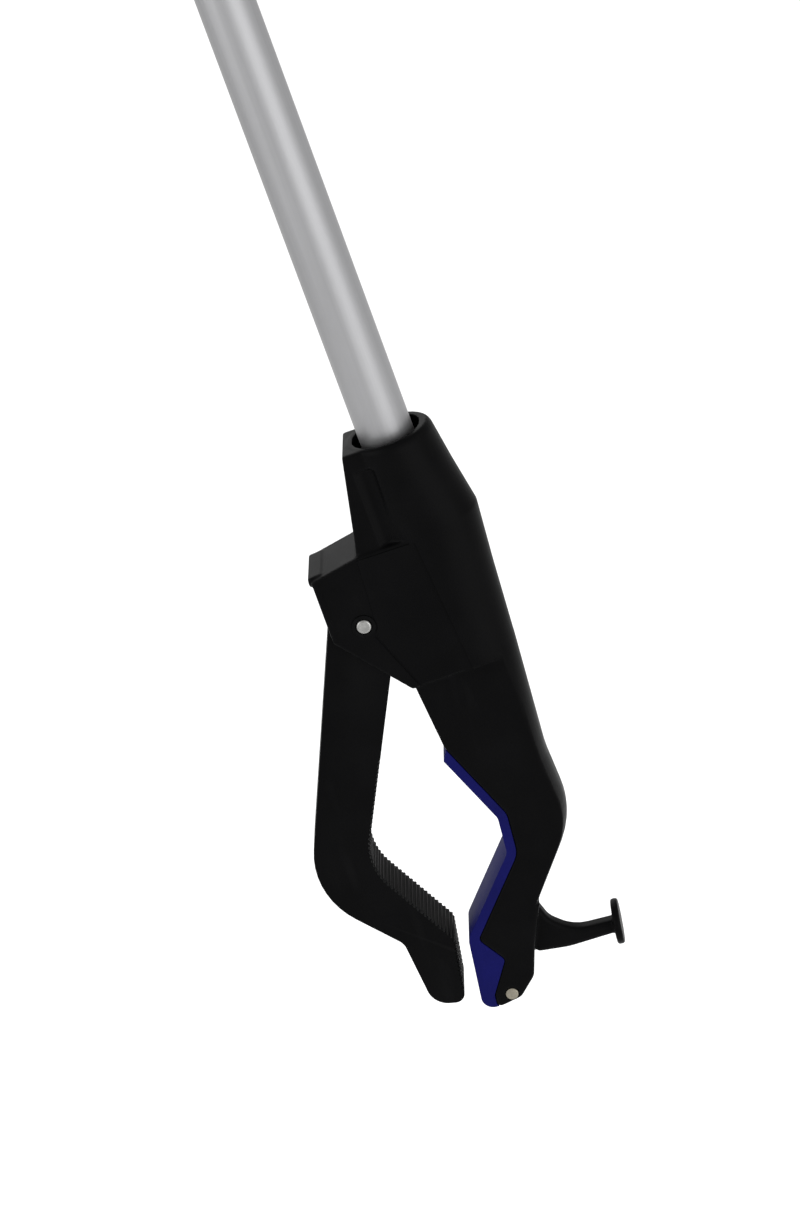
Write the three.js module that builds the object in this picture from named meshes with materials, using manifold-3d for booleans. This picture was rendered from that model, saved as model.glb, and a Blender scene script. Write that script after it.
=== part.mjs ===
// Reacher grabber: a trigger in the handle pulls a rod through the tube and shuts one jaw on the other.
// Millimetres. Z runs along the tube from the jaws to the handle, Y runs along every hinge pin, and
// the origin lies on the tube's axis, level with the trigger's pivot.
import * as THREE from 'three';
import { mergeVertices } from 'three/addons/utils/BufferGeometryUtils.js';
import Module from 'manifold-3d';

const wasm = await Module();
wasm.setup();

const gap = 0.3;                 // clearance between pieces that fit together
const beyond = 20;               // how far from the middle a cutting tool reaches, past every side face
const degree = Math.PI / 180;
const sides = (radius) => (radius > 6 ? 32 : 14);   // of a round body

// ---- shaft
const tubeRadius = 9.5;
const tubeWall = 1.2;
const tubeStop = 0.8;            // width of the step that each end of the tube rests on
const tubeRearZ = -28;           // end of the tube inside the handle
const mouthZ = -325;             // open end of the socket that takes the tube's other end
const rodRadius = 2;
const guideLength = 8;

// ---- jaw head; its heights are measured from the socket's mouth, downwards negative
const socketDepth = 36;
const mouthClearance = 2.5;      // round the tube in the wide first part of the socket
const mouthDepth = 14;
const socketWall = 3.8;          // least wall of the barrel outside the tube
const finOverhang = 1.7;         // of the flat block beside the socket, past the tube's side
const cheekWall = 2.2;
const bossHeight = 0.4;          // of the ring round the pivot pin
const jawClearance = 0.6;        // between the moving jaw and each cheek
const armHalf = 10.2;            // half thickness of the fixed jaw
const cheekTop = -36.4;
const cheekBottom = -88.6;
const slotTop = -43.2;
const slotRight = 8.5;
const slotFloor = -79;
const linerThickness = 3.4;
const linerHalf = 9.8;
const magnetRadius = 2.3;
const magnetPlace = [-26.3, -216.8];
const hookHalf = 3;
const lugRadius = 8;
const lugThickness = 2.4;
const lugPlace = [17, -206];
const lugTilt = 7;               // degrees that the lug leans from upright

// ---- moving jaw
const pivotPlace = [-28.7, -61.4];
const jawHalf = 9.7;
const jawPinRadius = 2.6;
const jawPinBoss = 4.2;
const jawPinEnd = 0.5;           // how far the pin's end stands past the boss
const washerRadius = 5;
const washerThickness = 0.8;
const ridgePitch = 1.8;
const ridgeDepth = 0.7;
const ridgeStart = 43;           // length of the jaw's face above the first groove
const jawOpen = 35;              // degrees from the modelled pose to wide open
const jawShut = 1.8;             // degrees from the modelled pose to shut

// ---- linkage: both levers swing evenly to either side of square to the rod
const webHalf = 3;               // half thickness of a lever between the fork's cheeks
const forkCheek = 2.7;
const forkHalfWidth = 4.5;
const forkCrown = 3;
const rodInFork = 0.5;           // between the rod's end and the bottom of its hole
const leverTaper = 4 * degree;   // each side of a lever, from its link pin to its pivot
const linkPinRadius = 1.5;
const leverEndRadius = 4.6;
const triggerPivotX = 26;

// ---- return spring, on the rod between the rear guide and a collar
const springLength = 40;
const springRadius = 5.2;
const springWire = 0.7;
const springTurns = 8;
const springSteps = 10;          // of each turn
const seatThickness = 1;
const collarLength = 5;
const collarClearance = 0.9;     // between the collar and the tube's bore
const guideInset = 3;            // from the front end of the tube to its guide

// ---- handle and trigger
const handleOverhang = 3.5;      // of the handle's flat sides, past the tube
const handleWall = 2.7;
const handleRounding = 3;
const noseLength = 22;           // of tube inside the handle
const noseWall = 5.1;            // of the nose, in front of the tube and behind it
const handleLeft = -16.5;        // front face of the handle, which the trigger comes out of
const gripThickness = 28;
const triggerHalf = 8.5;
const triggerPinRadius = 2.5;
const triggerHubRadius = 8;
const fingerLength = 82;         // of the part of the trigger that the fingers pull
const fingerClearance = 3.5;     // from the fork to the finger part
const triggerDepth = 13;         // of its finger part, front to back
const triggerClearance = 5;      // from its finger part, pulled home, to the grip
const pinBossWall = 2.5;
const hangHolePlace = [-76, 97];
const hangHoleRadius = 4.5;
const hangHoleWall = 2.2;
const bossRadius = 4.7;
const screwRadius = 1.5;
const screwLength = 18;
const screwHeadRadius = 3;
const screwHeadThickness = 2;
const screwHeadSunk = 1;
const handleScrewPlaces = [[22.5, -18.5], [18.5, 28], [-34, 66], [-57, 83.5]];
const tubeScrewRadius = 1.3;
const tubeScrewHeadRadius = 2.8;
const tubeScrewHeadThickness = 1.5;
const tubeScrewEnd = 0.7;        // how far a tube screw reaches past the tube's wall
const handleTubeScrewUp = 5;     // from the end of the nose
const handleTubeScrewSeat = 0.9; // of handle between the tube and the screw's head
const headTubeScrewDrop = 21;
const headTubeScrewSeat = 2.4;   // of housing between the tube and the screw's head

// ---- values that follow from the ones above
const tubeBore = tubeRadius - tubeWall;
const tubeFrontZ = mouthZ - socketDepth;
const socketRadius = tubeRadius + gap;
const finHalf = tubeRadius + finOverhang;
const slotHalf = jawHalf + jawClearance;
const cheekHalf = slotHalf + cheekWall;
const barrelHalf = Math.max(tubeRadius + socketWall, cheekHalf + 0.8);
const handleHalf = tubeRadius + handleOverhang;
const noseZ = tubeRearZ - noseLength;
const noseTop = tubeRearZ + 2;
const handleTubeScrewZ = noseZ + handleTubeScrewUp;
const jawSwing = (jawOpen + jawShut) / 2 * degree;
const jawLever = -pivotPlace[0] * 2 / (1 + Math.cos(jawSwing));
const rodTravel = 2 * jawLever * Math.sin(jawSwing);
const triggerSwing = 2 * Math.atan(rodTravel / 4 / triggerPivotX);
const triggerLever = rodTravel / 2 / Math.sin(triggerSwing);
const shutShare = jawShut / (jawOpen + jawShut);
const jawRestAngle = jawSwing * (1 - 2 * shutShare);
const triggerRestAngle = triggerSwing * (1 - 2 * shutShare);
const jawLinkX = pivotPlace[0] + jawLever * Math.cos(jawRestAngle);
const jawLinkZ = pivotPlace[1] + jawLever * Math.sin(jawRestAngle);
const triggerLinkZ = triggerLever * Math.sin(triggerRestAngle);
const forkHalf = webHalf + gap + forkCheek;
const steepest = Math.max(jawSwing, triggerSwing) + leverTaper;
const crownStart = leverEndRadius / Math.cos(steepest) + forkHalfWidth * Math.tan(steepest) + gap;
const forkLength = crownStart + forkCrown;

// ---- shapes

// A closed three.js geometry as a solid that can be joined and cut.
function solid(geometry) {
  const bare = geometry.clone();
  bare.deleteAttribute('normal');
  bare.deleteAttribute('uv');
  const merged = mergeVertices(bare, 1e-4);
  const index = merged.index.array;
  const faces = [];
  for (let i = 0; i < index.length; i += 3) {
    const [a, b, c] = index.slice(i, i + 3);
    if (a !== b && b !== c && c !== a) {
      faces.push(a, b, c);
    }
  }
  return new wasm.Manifold(new wasm.Mesh({
    numProp: 3,
    vertProperties: Float32Array.from(merged.attributes.position.array),
    triVerts: Uint32Array.from(faces),
  }));
}

function join(...bodies) {
  return bodies.reduce((whole, body) => whole.add(body));
}

function cut(body, ...tools) {
  return tools.reduce((whole, tool) => whole.subtract(tool), body);
}

// Draws line and arc pieces through corners [x, z, radius]; a corner with a radius becomes an arc.
function drawCorners(path, corners, closed) {
  const last = corners.length - 1;
  corners.forEach(([x, z, radius = 0], i) => {
    const here = new THREE.Vector2(x, z);
    const back = new THREE.Vector2(...corners[i > 0 ? i - 1 : last]).sub(here).normalize();
    const ahead = new THREE.Vector2(...corners[i < last ? i + 1 : 0]).sub(here).normalize();
    const half = Math.acos(back.dot(ahead)) / 2;
    const rounded = radius > 0 && (closed || (i > 0 && i < last));
    const reach = rounded ? radius / Math.tan(half) : 0;
    const start = here.clone().addScaledVector(back, reach);
    if (i === 0) {
      path.moveTo(start.x, start.y);
    } else {
      path.lineTo(start.x, start.y);
    }
    if (rounded) {
      const end = here.clone().addScaledVector(ahead, reach);
      const inward = back.clone().add(ahead).normalize();
      const centre = here.clone().addScaledVector(inward, radius / Math.sin(half));
      const from = Math.atan2(start.y - centre.y, start.x - centre.x);
      const to = Math.atan2(end.y - centre.y, end.x - centre.x);
      path.absarc(centre.x, centre.y, radius, from, to, back.cross(ahead) > 0);
    }
  });
  return path;
}

function outline(corners) {
  return drawCorners(new THREE.Shape(), corners, true);
}

// The same corners moved inwards by a distance, or outwards by a negative one.
function inset(corners, distance) {
  const points = corners.map(([x, z]) => new THREE.Vector2(x, z));
  const turn = Math.sign(THREE.ShapeUtils.area(points));
  const count = points.length;
  return corners.map(([x, z, radius = 0], i) => {
    const into = points[i].clone().sub(points[(i + count - 1) % count]).normalize();
    const out = points[(i + 1) % count].clone().sub(points[i]).normalize();
    const side = new THREE.Vector2(-into.y - out.y, into.x + out.x).multiplyScalar(turn);
    side.multiplyScalar(distance / (1 + into.dot(out)));
    const outward = Math.sign(into.cross(out)) * turn;
    return [x + side.x, z + side.y, radius > 0 ? Math.max(radius - outward * distance, 0.2) : 0];
  });
}

// The outline of a strap round two circles.
function strap([ax, az], aRadius, [bx, bz], bRadius) {
  const along = Math.atan2(bz - az, bx - ax);
  const spread = Math.acos((aRadius - bRadius) / Math.hypot(bx - ax, bz - az));
  const shape = new THREE.Shape();
  shape.absarc(ax, az, aRadius, along + spread, along - spread + 2 * Math.PI, false);
  shape.absarc(bx, bz, bRadius, along - spread, along + spread, false);
  return shape;
}

// An outline in X and Z made solid from low to high along Y, with its edges rounded off.
function plate(shape, low, high, rounding = 0) {
  const geometry = new THREE.ExtrudeGeometry(shape, {
    depth: high - low - 2 * rounding,
    curveSegments: 3,
    bevelEnabled: rounding > 0,
    bevelThickness: rounding,
    bevelSize: rounding,
    bevelOffset: -rounding,
    bevelSegments: rounding > 2 ? 2 : 1,
  });
  geometry.translate(0, 0, rounding - high);
  geometry.rotateX(Math.PI / 2);
  return solid(geometry);
}

function block(low, high) {
  const size = high.map((value, i) => value - low[i]);
  const geometry = new THREE.BoxGeometry(...size);
  geometry.translate(...low.map((value, i) => value + size[i] / 2));
  return solid(geometry);
}

function roundAlongY([x, z], radius, low, high) {
  const geometry = new THREE.CylinderGeometry(radius, radius, high - low, sides(radius));
  geometry.translate(x, (low + high) / 2, z);
  return solid(geometry);
}

function roundAlongZ(radius, low, high) {
  const geometry = new THREE.CylinderGeometry(radius, radius, high - low, sides(radius));
  geometry.rotateX(Math.PI / 2);
  geometry.translate(0, 0, (low + high) / 2);
  return solid(geometry);
}

// A turned piece along Y at [x, z], from points [radius, y] that start and end on its axis.
function turned(profile, [x, z]) {
  const points = profile.map(([radius, y]) => new THREE.Vector2(radius, y));
  const widest = Math.max(...profile.map(([radius]) => radius));
  const geometry = new THREE.LatheGeometry(points, sides(widest));
  geometry.translate(x, 0, z);
  return solid(geometry);
}

// A closed body with an oval section at each level [z, centre x, half width, half depth], bottom first.
function ovalTower(levels) {
  const steps = levels.length - 1;
  const geometry = new THREE.CylinderGeometry(1, 1, steps, 36, steps);
  const points = geometry.attributes.position;
  for (let i = 0; i < points.count; i += 1) {
    const [z, centre, halfWidth, halfDepth] = levels[Math.round(points.getY(i) + steps / 2)];
    points.setXYZ(i, centre + halfWidth * points.getX(i), -halfDepth * points.getZ(i), z);
  }
  return solid(geometry);
}

// A screw along Y with a cross recess, its head's outer face at headY.
function screw(place, headY, headRadius, headThickness, radius, length) {
  const neck = headY - headThickness;
  const body = turned([
    [0, neck - length], [radius * 0.6, neck - length], [radius, neck - length + radius],
    [radius, neck], [headRadius, neck], [headRadius, headY - 0.4], [headRadius - 0.4, headY], [0, headY],
  ], place);
  const arm = headRadius * 0.6;
  const [x, z] = place;
  const recessFloor = headY - headThickness * 0.6;
  const slots = [[arm, 0.35], [0.35, arm]].map(([wide, high]) =>
    block([x - wide, recessFloor, z - high], [x + wide, headY + 1, z + high]));
  return cut(body, ...slots);
}

// A screw into the tube's wall from its far side, through a seat of the given thickness.
function tubeScrew(z, seat) {
  const neck = socketRadius + seat + gap;
  return screw([0, z], neck + tubeScrewHeadThickness, tubeScrewHeadRadius, tubeScrewHeadThickness,
    tubeScrewRadius, neck - tubeBore + tubeScrewEnd);
}

// ---- looks
const looks = {
  blackPlastic: { color: 0x161617, roughness: 0.5, metalness: 0 },
  blueSoft: { color: 0x1a1c66, roughness: 0.6, metalness: 0 },
  satinAluminium: { color: 0xa9aaad, roughness: 0.35, metalness: 1 },
  steel: { color: 0xc0c0be, roughness: 0.3, metalness: 1 },
  magnet: { color: 0xb9ae98, roughness: 0.35, metalness: 1 },
  whitePlastic: { color: 0xd8d8d4, roughness: 0.5, metalness: 0 },
};

function addPiece(group, name, body, look) {
  const mesh = body.getMesh();
  const geometry = new THREE.BufferGeometry();
  geometry.setAttribute('position', new THREE.BufferAttribute(Float32Array.from(mesh.vertProperties), 3));
  geometry.setIndex(new THREE.BufferAttribute(Uint32Array.from(mesh.triVerts), 1));
  geometry.computeVertexNormals();
  const piece = new THREE.Mesh(geometry, new THREE.MeshStandardMaterial(looks[look]));
  piece.name = name;
  group.add(piece);
}

// ---- jaw housing

// Gripping side of the fixed jaw under its liner, from the liner's top end to the heel.
const linerSeat = [[-18, -116.2, 1.5], [-5.6, -147.5, 7], [-7, -163.7, 9], [-30.9, -192.3, 2.5]];
const linerKey = [[-24.4, -202.8, 2], [-32.5, -215.5, 2]];
const armCorners = [
  [-20.6, -84], ...linerSeat, ...linerKey,
  [-33, -220.9, 1.6], [-23.5, -219.3, 4], [-16.6, -212.6, 5], [-12.6, -201, 2],
  [-6, -186, 8], [15.6, -157.6, 16], [14.5, -131, 30], [18, -84],
];

function jawHousing() {
  const barrel = ovalTower([
    [cheekBottom, 2.1, barrelHalf + 2.6, barrelHalf], [-57.5, 2.9, barrelHalf + 3.4, barrelHalf + 0.6],
    [-34, 4, barrelHalf + 4.1, barrelHalf + 1], [-17, 2, barrelHalf + 3, barrelHalf + 1.3],
    [-1.4, 0.5, barrelHalf + 2, barrelHalf + 1], [0, 0.3, barrelHalf + 1.2, barrelHalf + 0.1],
  ]);
  const fin = plate(outline([[-6, 0], [-15.6, -0.2, 1], [-23.2, cheekTop - 2], [-6, cheekTop - 2]]),
    -finHalf, finHalf, 0.6);
  const cheeks = plate(outline([
    [3, cheekTop + 0.8], [-22.7, cheekTop], [-40.6, -40.4, 0.8], [-40.9, -64.6, 1.5],
    [-20.6, -89.8, 1], [3, cheekBottom],
  ]), -cheekHalf, cheekHalf, 0.6);
  const lip = plate(outline([[-36, -39.4], [-42, -40.7, 1], [-42, slotTop + 0.4, 1], [-36, slotTop]]),
    -slotHalf, slotHalf, 0.4);
  const outerSide = cut(
    block([2, -beyond, -150], [40, beyond, -80]),
    ovalTower([[-151, 0, 16.2, 31], [-115, 0, 16.6, 19], [-79, 0, 18.6, 13]]),
  );
  const arm = cut(plate(outline(armCorners), -armHalf, armHalf, 1), outerSide);
  const hook = plate(outline([
    [-9, -187], [-2.6, -202.4, 12], [lugPlace[0], -204], [lugPlace[0], -209.2], [-2, -209.2, 30],
    [-14, -203.6], [-14, -195],
  ]), -hookHalf, hookHalf, 0.8);
  const lug = new THREE.LatheGeometry([
    [0, -1], [0.9, -1], [1, -0.5], [1, 0.5], [0.9, 1], [0, 1],
  ].map(([radius, y]) => new THREE.Vector2(radius * lugRadius, y * lugThickness / 2)), sides(lugRadius));
  lug.rotateZ(-Math.PI / 2);
  lug.rotateY(lugTilt * degree);
  lug.translate(lugPlace[0], 0, lugPlace[1]);
  const pinBoss = roundAlongY(pivotPlace, jawPinBoss, -cheekHalf - bossHeight, cheekHalf + bossHeight);
  const slot = plate(outline([
    [-60, slotTop], [-9, slotTop], [-9, -40], [slotRight, -40, 1], [slotRight, slotFloor, 2],
    [-14, slotFloor, 2], [-20.9, -91], [-24, -100], [-60, -100],
  ]), -slotHalf, slotHalf);
  return cut(
    join(barrel, fin, cheeks, lip, arm, hook, solid(lug), pinBoss),
    roundAlongZ(tubeRadius + mouthClearance, -mouthDepth, 1),
    roundAlongZ(socketRadius, -socketDepth - gap, 1),
    roundAlongZ(tubeBore - tubeStop, slotTop, 1),
    slot,
    roundAlongY(pivotPlace, jawPinRadius + gap, -beyond, beyond),
    roundAlongY(magnetPlace, magnetRadius + gap, -beyond, beyond),
    roundAlongY([0, -headTubeScrewDrop], tubeScrewRadius + gap, 0, beyond),
    roundAlongY([0, -headTubeScrewDrop], tubeScrewHeadRadius + gap, socketRadius + headTubeScrewSeat, beyond),
  );
}

function jawLiner() {
  const span = [[-16.1, -121.1], linerSeat[1], linerSeat[2], linerSeat[3], [-34.2, -216.8, 1],
    [-31, -216.8], [5, -160], [-8, -107]];
  const pad = plate(outline(inset(span, -linerThickness)), -linerHalf, linerHalf, 0.5);
  return cut(pad, plate(outline(inset(armCorners, -gap)), -beyond, beyond));
}

// ---- moving jaw

const jawFace = [[-22.5, -75], [-58.6, -151.5, 22], [-38.7, -189.2, 4], [-42.2, -210]];

function movingJaw() {
  const body = plate(outline([
    [-38.6, -52.5, 6], [-42.4, -62.6, 6], [-81.4, -156.6, 30], [-56.4, -185.4, 6], [-54.2, -212.4, 8],
    [-43, -215, 3.5], jawFace[2], jawFace[1], [-17.6, -64.6, 6], [-20.5, -50.5, 6], [-32, -49, 6],
  ]), -jawHalf, jawHalf, 1);
  const lever = plate(strap(pivotPlace, leverEndRadius + jawLever * Math.sin(leverTaper),
    [jawLinkX, jawLinkZ], leverEndRadius), -webHalf, webHalf);
  const face = drawCorners(new THREE.Path(), jawFace, false);
  const length = face.getLength();
  const grooves = [];
  for (let at = ridgeStart; at < length - ridgePitch; at += ridgePitch) {
    const point = face.getPointAt(at / length);
    const groove = new THREE.CylinderGeometry(ridgeDepth, ridgeDepth, 4 * jawHalf, 4);
    groove.translate(point.x, 0, point.y);
    grooves.push(solid(groove));
  }
  return cut(
    join(body, lever),
    ...grooves,
    roundAlongY(pivotPlace, jawPinRadius + gap, -beyond, beyond),
    roundAlongY([jawLinkX, jawLinkZ], linkPinRadius + gap, -beyond, beyond),
  );
}

// ---- rod and forks

// A fork whose slots hold a link pin at height z; its crown lies on the side given by sign.
function rodFork(z, shift, sign) {
  const side = (from, to) => [z + sign * from, z + sign * to].sort((a, b) => a - b);
  const [low, high] = side(-leverEndRadius, forkLength);
  const [mouthLow, mouthHigh] = side(-beyond, crownStart);
  const body = plate(outline([
    [-forkHalfWidth, low, 1], [forkHalfWidth, low, 1], [forkHalfWidth, high, 1], [-forkHalfWidth, high, 1],
  ]), -forkHalf, forkHalf, 0.5);
  const slotRadius = linkPinRadius + gap;
  return cut(
    body,
    block([-beyond, -webHalf - gap, mouthLow], [beyond, webHalf + gap, mouthHigh]),
    plate(strap([-shift, z], slotRadius, [shift, z], slotRadius), -beyond, beyond),
    roundAlongZ(rodRadius + gap, ...side(0, beyond)),
  );
}

function ring(outer, inner, low, high) {
  return cut(roundAlongZ(outer, low, high), roundAlongZ(inner, low - 1, high + 1));
}

class Helix extends THREE.Curve {
  constructor(radius, low, high, turns) {
    super();
    Object.assign(this, { radius, low, high, turns });
  }

  getPoint(t, target = new THREE.Vector3()) {
    const angle = 2 * Math.PI * this.turns * t;
    return target.set(this.radius * Math.cos(angle), this.radius * Math.sin(angle),
      this.low + (this.high - this.low) * t);
  }
}

function returnSpring(low, high) {
  const wire = new THREE.Shape();
  wire.absarc(0, 0, springWire, 0, 2 * Math.PI, false);
  const path = new Helix(springRadius, low + springWire, high - springWire, springTurns);
  return solid(new THREE.ExtrudeGeometry(wire, {
    extrudePath: path, steps: springTurns * springSteps, curveSegments: 3, bevelEnabled: false,
  }));
}

// ---- handle

const gripBack = [[16, 45, 16], [-74, 112, 10]];
const gripLean = Math.atan2(gripBack[1][1] - gripBack[0][1], gripBack[0][0] - gripBack[1][0]);

// A point on the grip's front line at x, moved away from the grip by a distance.
function gripFrontZ(x, distance = 0) {
  const onBack = gripBack[0][1] + (gripBack[0][0] - x) * Math.tan(gripLean);
  return onBack - (gripThickness + distance) / Math.cos(gripLean);
}

const gripEndX = gripBack[1][0] - gripThickness * Math.sin(gripLean);
const handleCorners = [
  [-noseWall - tubeRadius, noseZ, 3.6], [tubeRadius + noseWall, noseZ, 3.6], [tubeRadius + 8, -30, 8],
  [triggerPivotX + 11.5, -13, 12], [triggerPivotX + 11.5, 12, 16], ...gripBack,
  [gripEndX, gripFrontZ(gripEndX), 9], [handleLeft, gripFrontZ(handleLeft), 6], [handleLeft, noseTop, 5],
];

const screwHeadY = handleHalf - screwHeadSunk;
const triggerPinHalf = handleHalf - handleWall + 0.7;

function handleShell(side) {
  const span = (near, far) => (side > 0 ? [near, far] : [-far, -near]);
  const whole = plate(outline(handleCorners), -handleHalf, handleHalf, handleRounding);
  const half = whole.intersect(block([-200, span(gap / 2, 50)[0], -200], [200, span(gap / 2, 50)[1], 200]));
  const hollowCorners = inset(handleCorners, handleWall);
  const inner = handleHalf - handleWall;
  const hollow = plate(outline(hollowCorners), -inner, inner).intersect(
    block([-200, -inner, noseTop], [200, inner, 200]));
  const intoWall = inner + 0.5;
  const screwBosses = handleScrewPlaces.map((place) =>
    roundAlongY(place, bossRadius, ...span(gap / 2, intoWall)));
  const pinBoss = roundAlongY([triggerPivotX, 0], triggerPinRadius + pinBossWall,
    ...span(triggerHalf + gap, intoWall));
  const hangSleeve = roundAlongY(hangHolePlace, hangHoleRadius + hangHoleWall, ...span(gap / 2, intoWall));
  const screwHoles = handleScrewPlaces.map((place) => (side > 0
    ? join(roundAlongY(place, screwRadius + gap, 0, beyond),
      roundAlongY(place, screwHeadRadius + gap, screwHeadY - screwHeadThickness - gap, beyond))
    : roundAlongY(place, screwRadius + gap, screwHeadY - screwHeadThickness - screwLength - gap, 0)));
  const mouth = block([handleLeft - 10, -inner, noseTop], [handleLeft + handleWall + 2, inner,
    gripFrontZ(handleLeft) - 3.5]);
  const tools = [
    mouth,
    roundAlongZ(socketRadius, noseZ - 1, tubeRearZ + gap),
    roundAlongZ(tubeBore - tubeStop, noseZ - 1, noseTop + 1),
    roundAlongY([triggerPivotX, 0], triggerPinRadius + gap, ...span(0, triggerPinHalf + gap)),
    roundAlongY(hangHolePlace, hangHoleRadius, -beyond, beyond),
    ...screwHoles,
  ];
  if (side > 0) {
    tools.push(roundAlongY([0, handleTubeScrewZ], tubeScrewRadius + gap, 0, beyond));
    tools.push(roundAlongY([0, handleTubeScrewZ], tubeScrewHeadRadius + gap,
      socketRadius + handleTubeScrewSeat, beyond));
  }
  return cut(join(cut(half, hollow), ...screwBosses, pinBoss, hangSleeve), ...tools);
}

// The trigger round its pivot, with the lever level and pointing to -X.
function triggerLeverBody() {
  const gripRise = gripLean - triggerSwing;          // finger part against the lever, pulled home
  const fingerStart = -triggerPivotX - forkHalfWidth - fingerClearance;
  const fingerEnd = fingerStart - fingerLength;
  const toLever = (x, z) => new THREE.Vector2(x - triggerPivotX, z)
    .rotateAround(new THREE.Vector2(0, 0), triggerSwing);
  const front = toLever(handleLeft, gripFrontZ(handleLeft, triggerClearance));
  const backZ = (x) => front.y + (front.x - x) * Math.tan(gripRise);
  const depth = triggerDepth / Math.cos(gripRise);
  const finger = plate(outline([
    [fingerStart, backZ(fingerStart) - depth + 1, 3], [fingerStart, backZ(fingerStart), 3],
    [fingerEnd, backZ(fingerEnd), 6], [fingerEnd - 3, backZ(fingerEnd) - depth, 5],
    [(fingerStart + fingerEnd) / 2, backZ((fingerStart + fingerEnd) / 2) - depth + 2.5, 60],
  ]), -triggerHalf, triggerHalf, 2);
  const lever = plate(strap([0, 0], leverEndRadius + triggerLever * Math.sin(leverTaper),
    [-triggerLever, 0], leverEndRadius), -webHalf, webHalf);
  const webEnd = fingerStart - 12;
  const web = plate(outline([
    [-triggerLever, -leverEndRadius + gap], [-triggerLever, leverEndRadius - gap],
    [webEnd, backZ(webEnd) - 2, 2], [webEnd, backZ(webEnd) - depth + 2, 2],
  ]), -webHalf, webHalf);
  const hub = roundAlongY([0, 0], triggerHubRadius, -triggerHalf, triggerHalf);
  return cut(
    join(finger, lever, web, hub),
    roundAlongY([0, 0], triggerPinRadius + gap, -beyond, beyond),
    roundAlongY([-triggerLever, 0], linkPinRadius + gap, -beyond, beyond),
  );
}

// ---- assembly

const reacher = new THREE.Group();

const head = new THREE.Group();
head.position.z = mouthZ;
reacher.add(head);
addPiece(head, 'jaw_housing', jawHousing(), 'blackPlastic');
addPiece(head, 'jaw_liner', jawLiner(), 'blueSoft');
addPiece(head, 'tip_magnet', roundAlongY(magnetPlace, magnetRadius, -armHalf, armHalf), 'magnet');
addPiece(head, 'moving_jaw', movingJaw(), 'blackPlastic');
addPiece(head, 'jaw_link_pin', roundAlongY([jawLinkX, jawLinkZ], linkPinRadius, -forkHalf, forkHalf),
  'steel');
const pinNear = cheekHalf + bossHeight + jawPinEnd;
const washerY = cheekHalf + bossHeight + gap;
const pinFar = washerY + washerThickness + jawPinEnd;
addPiece(head, 'jaw_pivot_pin', turned([
  [0, -pinNear], [jawPinRadius - jawPinEnd, -pinNear], [jawPinRadius, jawPinEnd - pinNear],
  [jawPinRadius, pinFar - jawPinEnd], [jawPinRadius - jawPinEnd, pinFar], [0, pinFar],
], pivotPlace), 'steel');
addPiece(head, 'pivot_pin_washer', cut(
  roundAlongY(pivotPlace, washerRadius, washerY, washerY + washerThickness),
  roundAlongY(pivotPlace, jawPinRadius + gap, 0, beyond),
), 'steel');
addPiece(head, 'socket_screw', tubeScrew(-headTubeScrewDrop, headTubeScrewSeat), 'steel');

const shaft = new THREE.Group();
reacher.add(shaft);
addPiece(shaft, 'shaft_tube', cut(
  ring(tubeRadius, tubeBore, tubeFrontZ, tubeRearZ),
  roundAlongY([0, mouthZ - headTubeScrewDrop], tubeScrewRadius + gap, 0, beyond),
  roundAlongY([0, handleTubeScrewZ], tubeScrewRadius + gap, 0, beyond),
), 'satinAluminium');
const guideTop = tubeRearZ - 2;
const guideLow = guideTop - guideLength;
const seatLow = guideLow - gap - seatThickness;
const springHigh = seatLow - gap;
const springLow = springHigh - springLength;
const collarHigh = springLow - gap;
const guideRadius = tubeBore - gap;
addPiece(shaft, 'rear_rod_guide', ring(guideRadius, rodRadius + gap, guideLow, guideTop), 'whitePlastic');
addPiece(shaft, 'front_rod_guide', ring(guideRadius, rodRadius + gap, tubeFrontZ + guideInset,
  tubeFrontZ + guideInset + guideLength), 'whitePlastic');
addPiece(shaft, 'spring_seat', ring(guideRadius - 0.6, rodRadius + gap, seatLow, guideLow - gap), 'steel');
addPiece(shaft, 'return_spring', returnSpring(springLow, springHigh), 'steel');

const rod = new THREE.Group();
reacher.add(rod);
const jawForkZ = mouthZ + jawLinkZ;
const jawForkShift = jawLever * (1 - Math.cos(jawSwing)) / 2;
const triggerForkShift = triggerLever * (1 - Math.cos(triggerSwing)) / 2;
addPiece(rod, 'pull_rod', roundAlongZ(rodRadius, jawForkZ + crownStart + rodInFork,
  triggerLinkZ - crownStart - rodInFork), 'steel');
addPiece(rod, 'spring_collar', ring(tubeBore - collarClearance, rodRadius + gap,
  collarHigh - collarLength, collarHigh), 'steel');
addPiece(rod, 'jaw_rod_fork', rodFork(jawForkZ, jawForkShift, 1), 'whitePlastic');
addPiece(rod, 'trigger_rod_fork', rodFork(triggerLinkZ, triggerForkShift, -1), 'whitePlastic');

const triggerGroup = new THREE.Group();
triggerGroup.position.x = triggerPivotX;
triggerGroup.rotation.y = triggerRestAngle;
reacher.add(triggerGroup);
addPiece(triggerGroup, 'trigger', triggerLeverBody(), 'blackPlastic');
addPiece(triggerGroup, 'trigger_link_pin', roundAlongY([-triggerLever, 0], linkPinRadius, -forkHalf,
  forkHalf), 'steel');

const handle = new THREE.Group();
reacher.add(handle);
addPiece(handle, 'near_handle_shell', handleShell(-1), 'blackPlastic');
addPiece(handle, 'far_handle_shell', handleShell(1), 'blackPlastic');
addPiece(handle, 'trigger_pivot_pin', roundAlongY([triggerPivotX, 0], triggerPinRadius, -triggerPinHalf,
  triggerPinHalf), 'steel');
handleScrewPlaces.forEach((place, i) => addPiece(handle, `handle_screw_${i + 1}`, screw(place,
  screwHeadY, screwHeadRadius, screwHeadThickness, screwRadius, screwLength), 'steel'));
addPiece(handle, 'handle_tube_screw', tubeScrew(handleTubeScrewZ, handleTubeScrewSeat), 'steel');

export default reacher;
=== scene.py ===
import math
import bpy
from mathutils import Matrix, Vector


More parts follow.
